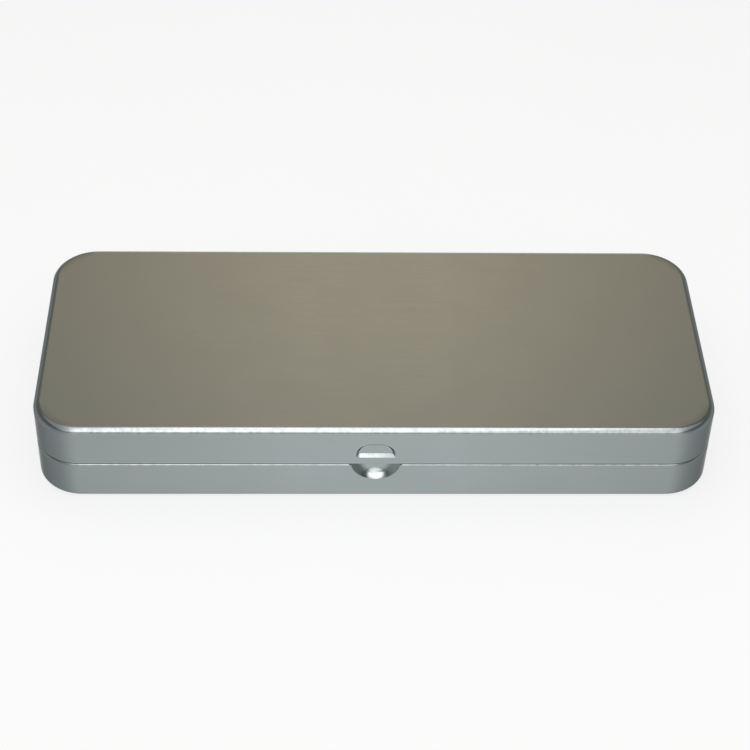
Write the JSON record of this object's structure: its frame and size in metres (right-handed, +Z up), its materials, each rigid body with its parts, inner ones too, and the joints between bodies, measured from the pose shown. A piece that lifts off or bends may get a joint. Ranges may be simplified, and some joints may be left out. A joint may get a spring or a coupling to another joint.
{
  "type": "colored pencil tin",
  "caption": "Flat rectangular tin with rounded corners, a hinged lid, a finger scoop, a formed tray and hexagonal coloured pencils.",
  "frame": {"origin": "middle of the underside that the tin stands on", "axes": "+X along the tin to the right as seen from the front, +Y to the back where the hinges are, +Z up"},
  "size_m": [0.19, 0.0816, 0.025],
  "materials": {
    "tinplate": "satin",
    "hinge_wire": "polished",
    "tray_plastic": "satin",
    "lacquer_red": "gloss",
    "lacquer_orange": "gloss",
    "lacquer_yellow": "gloss",
    "lacquer_light_green": "gloss",
    "lacquer_green": "gloss",
    "lacquer_light_blue": "gloss",
    "lacquer_blue": "gloss",
    "lacquer_violet": "gloss",
    "lacquer_brown": "gloss",
    "lacquer_black": "gloss",
    "core_red": "matte",
    "core_orange": "matte",
    "core_yellow": "matte",
    "core_light_green": "matte",
    "core_green": "matte",
    "core_light_blue": "matte",
    "core_blue": "matte",
    "core_violet": "matte",
    "core_brown": "matte",
    "core_black": "matte"
  },
  "bodies": {
    "base": {"base_shell": "tinplate", "hinge_pin_left": "hinge_wire", "hinge_pin_right": "hinge_wire", "pencil_tray": "tray_plastic", "pencil_casing_1": "lacquer_red", "pencil_casing_2": "lacquer_orange", "pencil_casing_3": "lacquer_yellow", "pencil_casing_4": "lacquer_light_green", "pencil_casing_5": "lacquer_green", "pencil_casing_6": "lacquer_light_blue", "pencil_casing_7": "lacquer_blue", "pencil_casing_8": "lacquer_violet", "pencil_casing_9": "lacquer_brown", "pencil_casing_10": "lacquer_black", "pencil_core_1": "core_red", "pencil_core_2": "core_orange", "pencil_core_3": "core_yellow", "pencil_core_4": "core_light_green", "pencil_core_5": "core_green", "pencil_core_6": "core_light_blue", "pencil_core_7": "core_blue", "pencil_core_8": "core_violet", "pencil_core_9": "core_brown", "pencil_core_10": "core_black"},
    "lid": {"lid_shell": "tinplate"}
  },
  "joints": [
    {"name": "lid_hinge", "type": "hinge", "parent": "base", "child": "lid", "pos_m": [0, 0.04066, 0.01225], "axis": [-1, 0, 0], "range_deg": [0, 180]}
  ]
}
